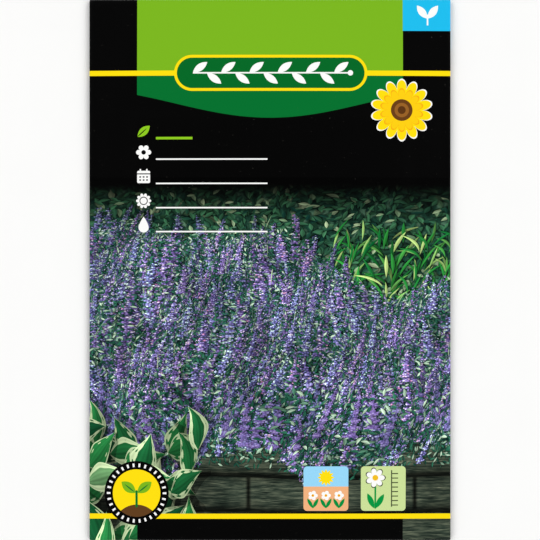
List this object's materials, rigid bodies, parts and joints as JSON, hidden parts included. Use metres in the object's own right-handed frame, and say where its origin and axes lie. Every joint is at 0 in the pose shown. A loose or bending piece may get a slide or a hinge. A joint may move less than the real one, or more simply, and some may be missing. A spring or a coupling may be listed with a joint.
{
  "type": "seed packet",
  "caption": "Flat paper seed packet lying on its back, printed front up, with a lap seam down the back, both ends folded over and a sealed foil bag of small seeds inside.",
  "frame": {"origin": "middle of the packet's footprint, on the surface that its back rests on", "axes": "+Z out of the printed front, +Y towards the packet's top edge, +X to the right as the front is read"},
  "size_m": [0.1, 0.15, 0.0035],
  "materials": {
    "printed_paper": "satin",
    "foil_laminate": "gloss",
    "seed_coat": "matte"
  },
  "bodies": {
    "root": {"paper_envelope": "printed_paper", "foil_inner_bag": "foil_laminate", "seed_01": "seed_coat", "seed_02": "seed_coat", "seed_03": "seed_coat", "seed_04": "seed_coat", "seed_05": "seed_coat", "seed_06": "seed_coat", "seed_07": "seed_coat", "seed_08": "seed_coat", "seed_09": "seed_coat", "seed_10": "seed_coat", "seed_11": "seed_coat", "seed_12": "seed_coat", "seed_13": "seed_coat", "seed_14": "seed_coat", "seed_15": "seed_coat", "seed_16": "seed_coat", "seed_17": "seed_coat", "seed_18": "seed_coat", "seed_19": "seed_coat", "seed_20": "seed_coat", "seed_21": "seed_coat", "seed_22": "seed_coat", "seed_23": "seed_coat", "seed_24": "seed_coat", "seed_25": "seed_coat", "seed_26": "seed_coat", "seed_27": "seed_coat", "seed_28": "seed_coat", "seed_29": "seed_coat", "seed_30": "seed_coat", "seed_31": "seed_coat", "seed_32": "seed_coat", "seed_33": "seed_coat", "seed_34": "seed_coat", "seed_35": "seed_coat", "seed_36": "seed_coat", "seed_37": "seed_coat", "seed_38": "seed_coat", "seed_39": "seed_coat", "seed_40": "seed_coat", "seed_41": "seed_coat", "seed_42": "seed_coat", "seed_43": "seed_coat", "seed_44": "seed_coat", "seed_45": "seed_coat", "seed_46": "seed_coat", "seed_47": "seed_coat", "seed_48": "seed_coat", "seed_49": "seed_coat", "seed_50": "seed_coat"}
  },
  "joints": []
}
